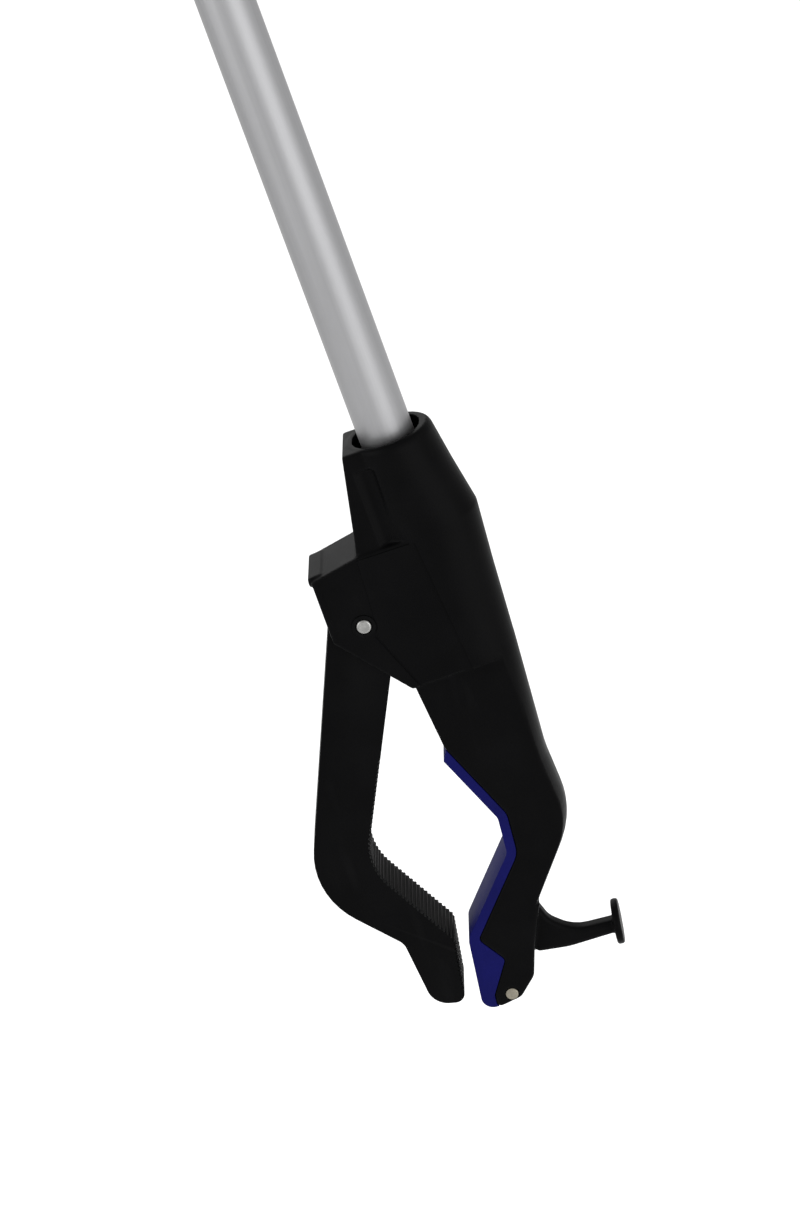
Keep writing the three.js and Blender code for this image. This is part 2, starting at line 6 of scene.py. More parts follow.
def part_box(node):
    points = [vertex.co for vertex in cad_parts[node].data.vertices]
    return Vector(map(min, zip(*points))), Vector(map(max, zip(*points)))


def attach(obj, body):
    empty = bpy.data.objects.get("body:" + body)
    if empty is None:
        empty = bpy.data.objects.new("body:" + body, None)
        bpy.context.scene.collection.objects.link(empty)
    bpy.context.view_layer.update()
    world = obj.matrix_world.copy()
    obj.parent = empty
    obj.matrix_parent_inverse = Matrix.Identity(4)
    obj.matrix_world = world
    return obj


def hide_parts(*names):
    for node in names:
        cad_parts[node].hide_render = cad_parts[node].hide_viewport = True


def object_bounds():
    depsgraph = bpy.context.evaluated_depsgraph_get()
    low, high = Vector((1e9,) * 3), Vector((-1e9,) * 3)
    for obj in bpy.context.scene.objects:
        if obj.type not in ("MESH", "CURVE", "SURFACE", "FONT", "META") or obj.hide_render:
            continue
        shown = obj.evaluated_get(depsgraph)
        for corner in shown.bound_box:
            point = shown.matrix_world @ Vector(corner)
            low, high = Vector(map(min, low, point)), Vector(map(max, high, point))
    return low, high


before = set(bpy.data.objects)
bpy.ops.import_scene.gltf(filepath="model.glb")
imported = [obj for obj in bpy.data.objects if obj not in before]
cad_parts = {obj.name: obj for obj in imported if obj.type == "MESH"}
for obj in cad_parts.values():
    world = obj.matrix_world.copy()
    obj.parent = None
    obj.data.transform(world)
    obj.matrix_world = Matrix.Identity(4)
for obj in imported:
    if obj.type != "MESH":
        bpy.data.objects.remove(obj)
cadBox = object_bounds()

mm = 0.001
degree = math.pi / 180
beyond = 20                           # how far a cutting tool reaches past the middle, in mm
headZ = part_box("jaw_housing")[1].z    # the socket's mouth, from which the head's outlines are measured


# Modelling, as by hand. Outlines are in mm, and lift is a height in metres added to them.

def selectNone():
    if bpy.context.mode != "OBJECT":
        bpy.ops.object.mode_set(mode="OBJECT")
    bpy.ops.object.select_all(action="DESELECT")


def pick(piece):
    selectNone()
    piece.select_set(True)
    bpy.context.view_layer.objects.active = piece


# The object just added gets its name, and its place goes into its mesh.
def settle(name):
    piece = bpy.context.object
    if bpy.context.mode != "OBJECT":
        bpy.ops.object.mode_set(mode="OBJECT")
    piece.name = name
    piece.data.name = name
    bpy.ops.object.transform_apply(location=True, rotation=True, scale=True)
    return piece


# The end of an extrusion: all faces turned outwards, and the piece settled.
def closeBody(name):
    bpy.ops.mesh.select_all(action="SELECT")
    bpy.ops.mesh.normals_make_consistent(inside=False)
    return settle(name)


def modify(piece, kind, **settings):
    pick(piece)
    modifier = piece.modifiers.new(kind, kind)
    for key, value in settings.items():
        setattr(modifier, key, value)
    bpy.ops.object.modifier_apply(modifier=modifier.name)
    return piece


def roundEdges(piece, width, segments=3, angle=40):
    return modify(piece, "BEVEL", width=width * mm, segments=segments, limit_method="ANGLE",
                  angle_limit=angle * degree)


# Joins other pieces to one, or cuts them out of it, and removes them.
def combine(piece, others, operation):
    for other in others:
        modify(piece, "BOOLEAN", object=other, operation=operation, solver="EXACT")
        bpy.data.objects.remove(other)
    return piece


def join(piece, *others):
    return combine(piece, others, "UNION")


def cut(piece, *others):
    return combine(piece, others, "DIFFERENCE")


# The points of an outline with corners (x, z, radius), in mm; a corner with a radius becomes an arc.
def roundCorners(corners):
    points = []
    for i, (x, z, *radius) in enumerate(corners):
        here = Vector((x, z))
        if not radius:
            points.append(here)
            continue
        back = (Vector(corners[i - 1][:2]) - here).normalized()
        ahead = (Vector(corners[(i + 1) % len(corners)][:2]) - here).normalized()
        half = back.angle(ahead) / 2
        middle = here + (back + ahead).normalized() * radius[0] / math.sin(half)
        arm = here + back * radius[0] / math.tan(half) - middle
        turn = math.pi - 2 * half
        if back.x * ahead.y > back.y * ahead.x:
            turn = -turn
        steps = max(3, round(abs(turn) / degree / 7))
        points += [middle + Matrix.Rotation(turn * k / steps, 2) @ arm for k in range(steps + 1)]
    return points


# The same corners moved inwards by a distance, or outwards by a negative one.
def inset(corners, distance):
    spots = [Vector(corner[:2]) for corner in corners]
    area = sum(a.x * b.y - b.x * a.y for a, b in zip(spots, spots[1:] + spots[:1]))
    side = math.copysign(1, area)
    moved = []
    for i, (here, corner) in enumerate(zip(spots, corners)):
        into = (here - spots[i - 1]).normalized()
        out = (spots[(i + 1) % len(spots)] - here).normalized()
        shift = Vector((-into.y - out.y, into.x + out.x)) * side * distance / (1 + into.dot(out))
        spot = here + shift
        if len(corner) > 2:
            outward = math.copysign(1, into.x * out.y - into.y * out.x) * side
            moved.append((spot.x, spot.y, max(corner[2] - outward * distance, 0.2)))
        else:
            moved.append((spot.x, spot.y))
    return moved


# An outline in X and Z, extruded from low to high along Y.
def plate(name, corners, low, high, lift=0.0, rounding=0.0, segments=3):
    points = roundCorners(corners)
    selectNone()
    bpy.ops.mesh.primitive_circle_add(vertices=len(points), radius=mm, fill_type="NGON")
    sheet = bpy.context.object.data
    for vertex, point in zip(sheet.vertices, points):
        vertex.co = (point.x * mm, low * mm, point.y * mm + lift)
    bpy.ops.object.mode_set(mode="EDIT")
    bpy.ops.mesh.select_all(action="SELECT")
    bpy.ops.mesh.extrude_region_move(TRANSFORM_OT_translate={"value": (0, (high - low) * mm, 0)})
    piece = closeBody(name)
    if rounding:
        roundEdges(piece, rounding, segments)
    return piece


# The corners of a strap round two circles.
def strapPoints(a, aRadius, b, bRadius, steps=14):
    a, b = Vector(a), Vector(b)
    along = math.atan2(b.y - a.y, b.x - a.x)
    spread = math.acos((aRadius - bRadius) / (b - a).length)
    points = []
    for centre, radius, start, turn in ((a, aRadius, spread, 2 * math.pi - 2 * spread),
                                        (b, bRadius, -spread, 2 * spread)):
        for k in range(steps + 1):
            angle = along + start + turn * k / steps
            points.append((centre.x + radius * math.cos(angle), centre.y + radius * math.sin(angle)))
    return points


def rodAlongY(name, place, radius, low, high, lift=0.0, sides=48):
    selectNone()
    bpy.ops.mesh.primitive_cylinder_add(
        vertices=sides, radius=radius * mm, depth=(high - low) * mm, rotation=(math.pi / 2, 0, 0),
        location=(place[0] * mm, (low + high) / 2 * mm, place[1] * mm + lift))
    return settle(name)


def rodAlongZ(name, radius, low, high, lift=0.0, sides=72):
    selectNone()
    bpy.ops.mesh.primitive_cylinder_add(vertices=sides, radius=radius * mm, depth=(high - low) * mm,
                                        location=(0, 0, (low + high) / 2 * mm + lift))
    return settle(name)


def block(name, low, high, lift=0.0):
    selectNone()
    size = [(b - a) * mm for a, b in zip(low, high)]
    place = [(a + b) / 2 * mm for a, b in zip(low, high)]
    bpy.ops.mesh.primitive_cube_add(size=1, location=(place[0], place[1], place[2] + lift), scale=size)
    return settle(name)


# A round disc along Y, grown ring by ring from steps (radius, y) in mm, and closed at both ends.
def turned(name, steps, place, lift=0.0, sides=48):
    selectNone()
    radius, y = steps[0]
    centre = Vector((place[0] * mm, 0, place[1] * mm + lift))
    bpy.ops.mesh.primitive_circle_add(vertices=sides, radius=radius * mm, fill_type="NGON",
                                      rotation=(math.pi / 2, 0, 0), location=centre + Vector((0, y * mm, 0)))
    bpy.ops.object.transform_apply(location=True, rotation=True, scale=True)
    bpy.ops.object.mode_set(mode="EDIT")
    bpy.ops.mesh.select_all(action="SELECT")
    for (lastRadius, lastY), (radius, y) in zip(steps, steps[1:]):
        bpy.ops.mesh.extrude_region_move(TRANSFORM_OT_translate={"value": (0, (y - lastY) * mm, 0)})
        grow = radius / lastRadius
        bpy.ops.transform.resize(value=(grow, 1, grow), center_override=centre + Vector((0, y * mm, 0)))
    return closeBody(name)


# A closed body with an oval section at each level (z, centre x, half width, half depth), bottom first.
def ovalTower(name, levels, lift=0.0, sides=72):
    z, centre, halfWidth, halfDepth = levels[0]
    spot = (centre * mm, 0, z * mm + lift)
    selectNone()
    bpy.ops.mesh.primitive_circle_add(vertices=sides, radius=mm, fill_type="NGON", location=spot)
    bpy.ops.object.mode_set(mode="EDIT")
    bpy.ops.mesh.select_all(action="SELECT")
    bpy.ops.transform.resize(value=(halfWidth, halfDepth, 1), center_override=spot)
    for last, (z, centre, halfWidth, halfDepth) in zip(levels, levels[1:]):
        move = ((centre - last[1]) * mm, 0, (z - last[0]) * mm)
        bpy.ops.mesh.extrude_region_move(TRANSFORM_OT_translate={"value": move})
        bpy.ops.transform.resize(value=(halfWidth / last[2], halfDepth / last[3], 1),
                                 center_override=(centre * mm, 0, z * mm + lift))
    return closeBody(name)


# Moulded plastic: every edge and inner corner softened alike.
def soften(piece, grain, passes):
    modify(piece, "REMESH", mode="VOXEL", voxel_size=grain * mm)
    modify(piece, "SMOOTH", factor=0.5, iterations=passes)


def smooth(piece, angle=35):
    pick(piece)
    bpy.ops.object.shade_smooth_by_angle(angle=angle * degree)


def copyOf(piece):
    copy = piece.copy()
    copy.data = piece.data.copy()
    bpy.context.collection.objects.link(copy)
    return copy


# A finished piece: its finish, the body it moves with and the CAD node that it stands for.
def finish(piece, material, body, node):
    piece.data.materials.clear()
    piece.data.materials.append(material)
    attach(piece, body)
    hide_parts(node)
    print("made", piece.name, len(piece.data.polygons))


# Shader maths: a wire is the output of a node, and a coat is a finish.

class Wire:
    def __init__(self, coat, socket):
        self.coat = coat
        self.socket = socket

    def mathNode(self, operation, first, second):
        return self.coat.node("ShaderNodeMath", {"operation": operation}, {0: first, 1: second})

    def __add__(self, other):
        return self.mathNode("ADD", self, other)

    __radd__ = __add__

    def __sub__(self, other):
        return self.mathNode("SUBTRACT", self, other)

    def __rsub__(self, other):
        return self.mathNode("SUBTRACT", other, self)

    def __mul__(self, other):
        return self.mathNode("MULTIPLY", self, other)

    __rmul__ = __mul__


class Coat:
    def __init__(self, name, **sockets):
        self.material = bpy.data.materials.new(name)
        self.material.use_nodes = True
        self.tree = self.material.node_tree
        self.surface = self.tree.nodes["Principled BSDF"]
        for key, value in sockets.items():
            self.plug(self.surface.inputs[key.replace("_", " ")], value)
        self.place = self.node("ShaderNodeTexCoord", {}, {}, "Object")

    def plug(self, socket, value):
        if isinstance(value, Wire):
            self.tree.links.new(value.socket, socket)
        else:
            socket.default_value = value

    def node(self, kind, settings, inputs, output=0):
        made = self.tree.nodes.new(kind)
        for key, value in settings.items():
            setattr(made, key, value)
        for key, value in inputs.items():
            self.plug(made.inputs[key], value)
        return Wire(self, made.outputs[output])

    def noise(self, scale, detail, stretch=(1, 1, 1)):
        spot = self.node("ShaderNodeMapping", {}, {"Vector": self.place, "Scale": stretch})
        return self.node("ShaderNodeTexNoise", {}, {"Vector": spot, "Scale": scale, "Detail": detail})

    # A mask that is 0 below low and 1 above high.
    def band(self, value, low, high):
        return self.node("ShaderNodeMapRange", {"interpolation_type": "SMOOTHSTEP"},
                         {"Value": value, "From Min": low, "From Max": high})

    # The colour first where the share is 0, and second where it is 1.
    def mix(self, share, first, second):
        return self.node("ShaderNodeMix", {"data_type": "RGBA"},
                         {0: share, 6: (*first, 1), 7: (*second, 1)}, 2)

    def bump(self, height, depth):
        relief = self.node("ShaderNodeBump", {}, {"Height": height, "Distance": depth * mm, "Strength": 1})
        self.set("Normal", relief)

    def set(self, socket, value):
        self.plug(self.surface.inputs[socket], value)


plastic = {
    "gloss": 0.025, "grainDepth": 0.035, "grainRough": 0.08, "roughBase": -0.1,
    "cloudScale": 55, "cloudTint": 0.6, "cloudRough": 0.14, "cloudRelief": 0.5,
    "scuffScale": 90, "scuffStretch": (1, 1, 0.22), "scuffBand": (0.62, 0.72), "scuffWear": 0.25,
    "scuffPolish": 0.06, "edgeBand": (0.53, 0.6), "edgeWear": 0.35,
}
rubber = {
    "deep": (0.0012, 0.0014, 0.034), "pale": (0.003, 0.0035, 0.068), "gloss": 0.05, "roughness": 0.5,
    "grain": 3200, "grainDepth": 0.04, "grainRough": 0.1, "cloudScale": 70, "cloudTint": 0.8,
    "cloudRough": 0.12, "dustScale": 600, "dustBand": (0.6, 0.75), "dustTint": 0.3,
}
satin = {
    "base": (0.215, 0.215, 0.22), "bright": (0.29, 0.29, 0.295), "metallic": 0.92, "roughness": 0.4,
    "streakScale": 900, "streakStretch": (1, 1, 0.012), "streakTint": 0.6, "streakRough": 0.1,
    "cloudScale": 30, "cloudStretch": (1, 1, 0.3), "cloudTint": 0.4,
    "grain": 5200, "grainRough": 0.06, "grainShare": 0.6, "grainDepth": 0.006,
}
bareMetal = {
    "streakTint": 0.7, "streakRough": 0.15, "streakDepth": 0.012,
    "spotScale": 0.4, "spotBand": (0.58, 0.75), "spotTint": 0.3, "spotRough": 0.12,
}


def mouldedPlastic(name, dark, light, grain, roughness):
    coat = Coat(name, Specular_IOR_Level=plastic["gloss"])
    cloud = coat.noise(plastic["cloudScale"], 3)
    fine = coat.noise(grain, 2)
    scuff = coat.band(coat.noise(plastic["scuffScale"], 4, plastic["scuffStretch"]), *plastic["scuffBand"])
    edge = coat.band(coat.node("ShaderNodeNewGeometry", {}, {}, "Pointiness"), *plastic["edgeBand"])
    worn = edge * plastic["edgeWear"] + scuff * plastic["scuffWear"]
    coat.set("Base Color", coat.mix(cloud * plastic["cloudTint"] + worn, dark, light))
    coat.set("Roughness", cloud * plastic["cloudRough"] + fine * plastic["grainRough"]
             - scuff * plastic["scuffPolish"] + (roughness + plastic["roughBase"]))
    coat.bump(fine + cloud * plastic["cloudRelief"], plastic["grainDepth"])
    return coat.material


def softRubber():
    coat = Coat("navyRubber", Specular_IOR_Level=rubber["gloss"])
    cloud = coat.noise(rubber["cloudScale"], 3)
    fine = coat.noise(rubber["grain"], 3)
    dust = coat.band(coat.noise(rubber["dustScale"], 2), *rubber["dustBand"])
    tint = cloud * rubber["cloudTint"] + dust * rubber["dustTint"]
    coat.set("Base Color", coat.mix(tint, rubber["deep"], rubber["pale"]))
    coat.set("Roughness", cloud * rubber["cloudRough"] + fine * rubber["grainRough"] + rubber["roughness"])
    coat.bump(fine, rubber["grainDepth"])
    return coat.material


def satinAluminium():
    coat = Coat("satinAluminium", Metallic=satin["metallic"])
    streak = coat.noise(satin["streakScale"], 3, satin["streakStretch"])
    cloud = coat.noise(satin["cloudScale"], 2, satin["cloudStretch"])
    fine = coat.noise(satin["grain"], 1)
    tint = streak * satin["streakTint"] + cloud * satin["cloudTint"]
    coat.set("Base Color", coat.mix(tint, satin["base"], satin["bright"]))
    coat.set("Roughness", streak * satin["streakRough"] + fine * satin["grainRough"] + satin["roughness"])
    coat.bump(fine * satin["grainShare"] + streak * (1 - satin["grainShare"]), satin["grainDepth"])
    return coat.material


def metal(name, dark, light, roughness, scale, stretch=(1, 1, 1)):
    coat = Coat(name, Metallic=1)
    streak = coat.noise(scale, 3, stretch)
    spot = coat.band(coat.noise(scale * bareMetal["spotScale"], 3), *bareMetal["spotBand"])
    tint = streak * bareMetal["streakTint"] + spot * bareMetal["spotTint"]
    coat.set("Base Color", coat.mix(tint, light, dark))
    coat.set("Roughness", streak * bareMetal["streakRough"] + spot * bareMetal["spotRough"] + roughness)
    coat.bump(streak, bareMetal["streakDepth"])
    return coat.material


blackPlastic = mouldedPlastic("blackPlastic", (0.0006, 0.0006, 0.0007), (0.0032, 0.0032, 0.0034), 2600, 0.4)
whitePlastic = mouldedPlastic("whitePlastic", (0.6, 0.6, 0.56), (0.72, 0.72, 0.69), 1800, 0.42)
navyRubber = softRubber()
aluminium = satinAluminium()
steel = metal("zincSteel", (0.1, 0.1, 0.097), (0.31, 0.31, 0.3), 0.27, 1500)
drawnSteel = metal("drawnSteel", (0.3, 0.3, 0.3), (0.55, 0.55, 0.54), 0.3, 1200, (1, 1, 0.05))
magnetMetal = metal("sinteredMagnet", (0.1, 0.094, 0.075), (0.24, 0.222, 0.178), 0.36, 2200)
print("finishes ready")


pinHoleRadius = 2.9
armHalf = 10.2                        # half the arm's width along Y
linerSeat = [(-18, -116.2, 1.5), (-5.6, -147.5, 7), (-7, -163.7, 9), (-30.9, -192.3, 2.5)]
armCorners = [
    (-20.6, -84), *linerSeat, (-24.4, -202.8, 2), (-32.5, -215.5, 2), (-33, -220.9, 1.6),
    (-23.5, -219.3, 4), (-16.6, -212.6, 5), (-12.6, -201, 2), (-6, -186, 8), (15.6, -157.6, 28),
    (14.5, -131, 45), (18, -84),
]
pivotPlace = (-28.7, -61.4)
magnetPlace = (-26.3, -216.8)

housing = {
    # levels (z, centre x, half width, half depth), bottom first
    "barrel": [(-88.6, 2.1, 15.6, 13.3), (-57.5, 2.9, 16.7, 13.9), (-34, 4, 17.4, 14.3), (-17, 2, 16.3, 14.6),
               (-2.2, 0.6, 15.4, 14.4), (-0.7, 0.4, 15, 13.9), (0, 0.3, 14.2, 13.2)],
    # outlines with corners (x, z, radius)
    "fin": [(-6, 0), (-15.6, -0.2, 1), (-23.2, -38.4), (-6, -38.4)],
    "cheeks": [(3, -35.6), (-22.7, -36.4), (-40.6, -40.4, 0.8), (-40.9, -64.6, 1.5), (-20.6, -89.8, 1),
               (3, -88.6)],
    "panel": [(-22.9, -37.4), (1, -36.8), (5, -87.6), (-17.6, -88.6), (-25.4, -66, 3), (-24, -56, 20)],
    "crease": [(-26.4, -66.4), (-25.5, -66.1), (-16.8, -89.1), (-17.7, -89.4)],
    "flat": [(-30, -36.9), (-2, -36.9), (1.9, -89), (-30, -89)],
    "lip": [(-36.5, -38.9), (-41.6, -39.5, 0.5), (-42, -42.8, 1), (-36, -43.2)],
    "hook": [(-9, -185), (-5.4, -196.5, 8), (1.5, -203.2, 14), (17, -204), (17, -209.2), (-2, -209.4, 30),
             (-14, -207.6), (-14, -195)],
    "slot": [(-60, -43.2), (-9, -43.2), (-9, -40), (8.5, -40, 1), (8.5, -79, 2), (-14, -79, 2),
             (-20.9, -91), (-24, -100), (-60, -100)],
    # half widths along Y
    "finHalf": 11.2, "cheekHalf": 12.5, "panelHalf": 12.85, "flatHalf": 12.88, "creaseHalf": 12.28,
    "bossHalf": 12.95, "slotHalf": 10.3, "hookHalf": 3,
    # the oval side of the arm, flatter below flatBelow
    "sideLow": (-12, -186), "sideHigh": (40, -80), "sideBottom": -186, "sideTop": -78, "sideStep": 3,
    "flatBelow": -150, "sideWidth": (22, 18), "sideDepth": (25, 13), "sideProud": 0.05,
    "mouthRadius": 12, "mouthDepth": 14, "socketRadius": 9.8, "socketDepth": 36.3, "rodWayRadius": 7.5,
    "rodWayDepth": 43.2, "magnetHole": 2.45, "screwZ": -21, "screwHole": 1.6, "screwSeat": (3.1, 12.2),
    "valleyPlace": (-10.8, 15), "valleyRadius": 5, "valleySpan": (-35.8, -7), "bossRadius": 4.2,
    "bossGap": 0.5, "coreLow": (-40, -12, -95), "coreHigh": (20, 12, -30),
    "lugPlace": (17, -206), "lugRadius": 8.25, "lugThickness": 2.7, "lugTilt": 7,
    "finRounding": 0.8, "cheekRounding": 0.7, "lipRounding": 0.4, "armRounding": 1.1, "hookRounding": 1.6,
    "lugRounding": 0.7, "panelRounding": 0.15, "bossRounding": 0.2,
    "grain": 0.5, "passes": 4, "keep": 0.4, "sharpAngle": 22,
}


# The x of the arm's outer side at a height.
def armOuterX(z):
    points = roundCorners(armCorners)
    crossings = [a.x + (b.x - a.x) * (z - a.y) / (b.y - a.y)
                 for a, b in zip(points, points[1:] + points[:1]) if min(a.y, b.y) <= z < max(a.y, b.y)]
    return max(crossings)


# Oval sections that touch the arm's outer side, flatter towards the tip.
def armSideLevels():
    levels = []
    bottom, top, still = housing["sideBottom"], housing["sideTop"], housing["flatBelow"]
    for z in range(bottom, top + 1, housing["sideStep"]):
        share = min(1, max(0, (z - still) / (top - still)))
        width, depth = (a + (b - a) * share for a, b in (housing["sideWidth"], housing["sideDepth"]))
        outerX = armOuterX(min(z, armCorners[0][1] - 0.1))
        levels.append((z, outerX - width + housing["sideProud"], width, depth))
    return levels


# A plate of the housing, as wide as its half width says on both sides.
def slab(name, half, rounding=0.0):
    return plate(name, housing[name], -half, half, headZ, rounding)


# Takes away what stands past a half width inside an outline, on both sides.
def cutSides(body, name, half):
    for low, high in ((-beyond, -half), (half, beyond)):
        cut(body, plate(name, housing[name], low, high, headZ))


def throughHole(name, place, radius):
    return rodAlongY(name, place, radius, -beyond, beyond, headZ)


def makeArm():
    arm = plate("arm", armCorners, -armHalf, armHalf, headZ, housing["armRounding"])
    (lowX, lowZ), (highX, highZ) = housing["sideLow"], housing["sideHigh"]
    outerSide = block("outerSide", (lowX, -beyond, lowZ), (highX, beyond, highZ), headZ)
    cut(outerSide, ovalTower("roundSide", armSideLevels(), headZ))
    return cut(arm, outerSide)


def makeHousing():
    body = ovalTower("jawHousing", housing["barrel"], headZ)
    fin = slab("fin", housing["finHalf"], housing["finRounding"])
    cheeks = slab("cheeks", housing["cheekHalf"], housing["cheekRounding"])
    lip = slab("lip", housing["slotHalf"], housing["lipRounding"])
    arm = makeArm()
    hook = roundEdges(slab("hook", housing["hookHalf"]), housing["hookRounding"], 4)
    lug = roundEdges(makeLug(), housing["lugRounding"])
    join(body, fin, cheeks, lip, arm, hook, lug)
    screwPlace = (0, housing["screwZ"])
    seatRadius, seatFloor = housing["screwSeat"]
    cut(body, rodAlongZ("mouth", housing["mouthRadius"], -housing["mouthDepth"], 5, headZ),
        rodAlongZ("socket", housing["socketRadius"], -housing["socketDepth"], 5, headZ),
        rodAlongZ("rodWay", housing["rodWayRadius"], -housing["rodWayDepth"], 5, headZ),
        slab("slot", housing["slotHalf"]),
        throughHole("pinHole", pivotPlace, pinHoleRadius - 0.5),
        throughHole("magnetHole", magnetPlace, housing["magnetHole"]),
        rodAlongY("screwHole", screwPlace, housing["screwHole"], 0, beyond, headZ),
        rodAlongY("screwSeat", screwPlace, seatRadius, seatFloor, beyond, headZ))
    valleyX, valleyY = housing["valleyPlace"]
    for side in (-1, 1):
        valley = rodAlongZ("valley", housing["valleyRadius"], *housing["valleySpan"], headZ, 40)
        valley.data.transform(Matrix.Translation((valleyX * mm, side * valleyY * mm, 0)))
        cut(body, valley)
    soften(body, housing["grain"], housing["passes"])
    modify(body, "DECIMATE", ratio=housing["keep"])
    addHousingDetails(body)
    smooth(body, housing["sharpAngle"])
    finish(body, blackPlastic, "frame", "jaw_housing")


# The raised panel on each cheek, the step beside the barrel and the pin's boss: crisp, so added last.
def addHousingDetails(body):
    half = housing["panelHalf"]
    panel = plate("panel", housing["panel"], -half, half, headZ, housing["panelRounding"], 2)
    half = housing["bossHalf"]
    boss = rodAlongY("pinBoss", pivotPlace, housing["bossRadius"], -half, half, headZ)
    roundEdges(boss, housing["bossRounding"], 2)
    cut(panel, throughHole("bossSeat", pivotPlace, housing["bossRadius"] + housing["bossGap"]))
    core = block("core", housing["coreLow"], housing["coreHigh"], headZ)
    for detail in (panel, boss):
        cut(detail, copyOf(core))
    bpy.data.objects.remove(core)
    join(body, panel, boss)
    cutSides(body, "flat", housing["flatHalf"])
    cutSides(body, "crease", housing["creaseHalf"])
    cut(body, throughHole("pinHole", pivotPlace, pinHoleRadius))


def makeLug():
    x, z = housing["lugPlace"]
    selectNone()
    bpy.ops.mesh.primitive_cylinder_add(
        vertices=56, radius=housing["lugRadius"] * mm, depth=housing["lugThickness"] * mm,
        rotation=(0, math.pi / 2 + housing["lugTilt"] * degree, 0), location=(x * mm, 0, z * mm + headZ))
    return settle("lug")


makeHousing()


liner = {
    "thickness": 3.4, "half": 9.8, "rounding": 0.5,
    "span": [(-16.1, -121.1), *linerSeat[1:], (-34.2, -216.8, 1), (-31, -216.8), (5, -160), (-8, -107)],
}


# A strip along the arm's gripping side: the span grown by its thickness, less the arm itself.
def makeLiner():
    pad = plate("jawLiner", inset(liner["span"], -liner["thickness"]), -liner["half"], liner["half"], headZ)
    cut(pad, plate("seat", armCorners, -beyond, beyond, headZ))
    roundEdges(pad, liner["rounding"], 3, 30)
    smooth(pad)
    finish(pad, navyRubber, "frame", "jaw_liner")


magnet = {"radius": 2.3, "edge": 0.35}


def makeMagnet():
    radius, edge = magnet["radius"], magnet["edge"]
    rod = turned("tipMagnet", [(radius - edge, -armHalf), (radius - edge * 0.3, -armHalf + edge * 0.3),
                               (radius, -armHalf + edge), (radius, armHalf - edge), (radius - edge, armHalf)],
                 magnetPlace, headZ)
    smooth(rod)
    finish(rod, magnetMetal, "frame", "tip_magnet")


pin = {"near": -13.4, "far": 14.5, "radius": 2.6, "washerRadius": 5, "washerHole": 2.85,
       "washerSpan": (13.2, 14.02)}


def makePin():
    near, far, radius = pin["near"], pin["far"], pin["radius"]
    pivot = turned("jawPivotPin", [(radius - 1.1, near + 0.12), (radius - 0.7, near),
                                   (radius - 0.25, near + 0.15), (radius, near + 0.5), (radius, far - 0.5),
                                   (radius - 0.3, far - 0.15), (radius - 0.8, far)], pivotPlace, headZ)
    smooth(pivot, 50)
    finish(pivot, steel, "frame", "jaw_pivot_pin")
    edge = pin["washerRadius"]
    low, high = pin["washerSpan"]
    washer = turned("pivotPinWasher", [(edge - 0.2, low), (edge, low + 0.15), (edge, high - 0.12),
                                       (edge - 0.3, high)], pivotPlace, headZ)
    cut(washer, rodAlongY("washerHole", pivotPlace, pin["washerHole"], 0, beyond, headZ))
    smooth(washer)
    finish(washer, steel, "frame", "pivot_pin_washer")


makeLiner()
makeMagnet()
makePin()


# The levers of the jaw and of the trigger are alike.
lever = {"half": 3, "end": 4.6, "taper": 4, "linkHole": 1.8}

jaw = {
    "corners": [(-38.6, -52.5, 6), (-42.4, -62.6, 6), (-81.4, -156.6, 30), (-56.4, -185.4, 6),
                (-54.2, -212.4, 8), (-43, -215, 3.5), (-38.7, -189.2, 4), (-58.6, -151.5, 22),
                (-17.6, -64.6, 6), (-20.5, -50.5, 6), (-32, -49, 6)],
    "face": [(-22.5, -75), (-58.6, -151.5, 22), (-38.7, -189.2, 4), (-42.2, -210)], "faceBack": (-60, -100),
    "half": 9.7, "rounding": 0.6, "ridgePitch": 1.8, "ridgeDepth": 0.7, "ridgeStart": 43,
}


# The middle of a CAD node in X and Z, in mm.
def middleOf(node, lift=0.0):
    low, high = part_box(node)
    middle = (low + high) / 2
    return Vector((middle.x, middle.z - lift)) / mm


# Evenly spaced points along a line of points, from a start to just before its end.
def walk(points, start, pitch):
    spots = []
    travelled = 0.0
    nextAt = start
    for a, b in zip(points, points[1:]):
        length = (b - a).length
        while nextAt < travelled + length:
            spots.append(a.lerp(b, (nextAt - travelled) / length))
            nextAt += pitch
        travelled += length
    return spots


def makeLever(pivot, link, lift=0.0):
    reach = (Vector(link) - Vector(pivot)).length
    root = lever["end"] + reach * math.sin(lever["taper"] * degree)
    return plate("lever", strapPoints(pivot, root, link, lever["end"]), -lever["half"], lever["half"], lift)


def makeMovingJaw():
    half = jaw["half"]
    body = plate("movingJaw", jaw["corners"], -half, half, headZ, jaw["rounding"], 5)
    link = middleOf("jaw_link_pin", headZ)
    join(body, makeLever(pivotPlace, link, headZ))
    line = roundCorners(jaw["face"] + [jaw["faceBack"]])[:-1]
    grooves = []
    for spot in walk(line, jaw["ridgeStart"], jaw["ridgePitch"]):
        grooves.append(rodAlongY("groove", spot, jaw["ridgeDepth"], -2 * half, 2 * half, headZ, 16))
    cut(body, *grooves, throughHole("pinHole", pivotPlace, pinHoleRadius),
        throughHole("linkHole", link, lever["linkHole"]))
    smooth(body, 40)
    finish(body, blackPlastic, "jaw", "moving_jaw")


makeMovingJaw()
print("head made")


shaft = {"wall": 1.2, "rounding": 0.25, "sides": 128}


def makeTube():
    low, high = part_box("shaft_tube")
    selectNone()
    bpy.ops.mesh.primitive_cylinder_add(vertices=shaft["sides"], radius=high.x, depth=high.z - low.z,
                                        end_fill_type="NOTHING", location=(0, 0, (low.z + high.z) / 2))
    tube = settle("shaftTube")
    modify(tube, "SOLIDIFY", thickness=shaft["wall"] * mm, offset=-1)
    roundEdges(tube, shaft["rounding"])
    smooth(tube)
    finish(tube, aluminium, "frame", "shaft_tube")


makeTube()


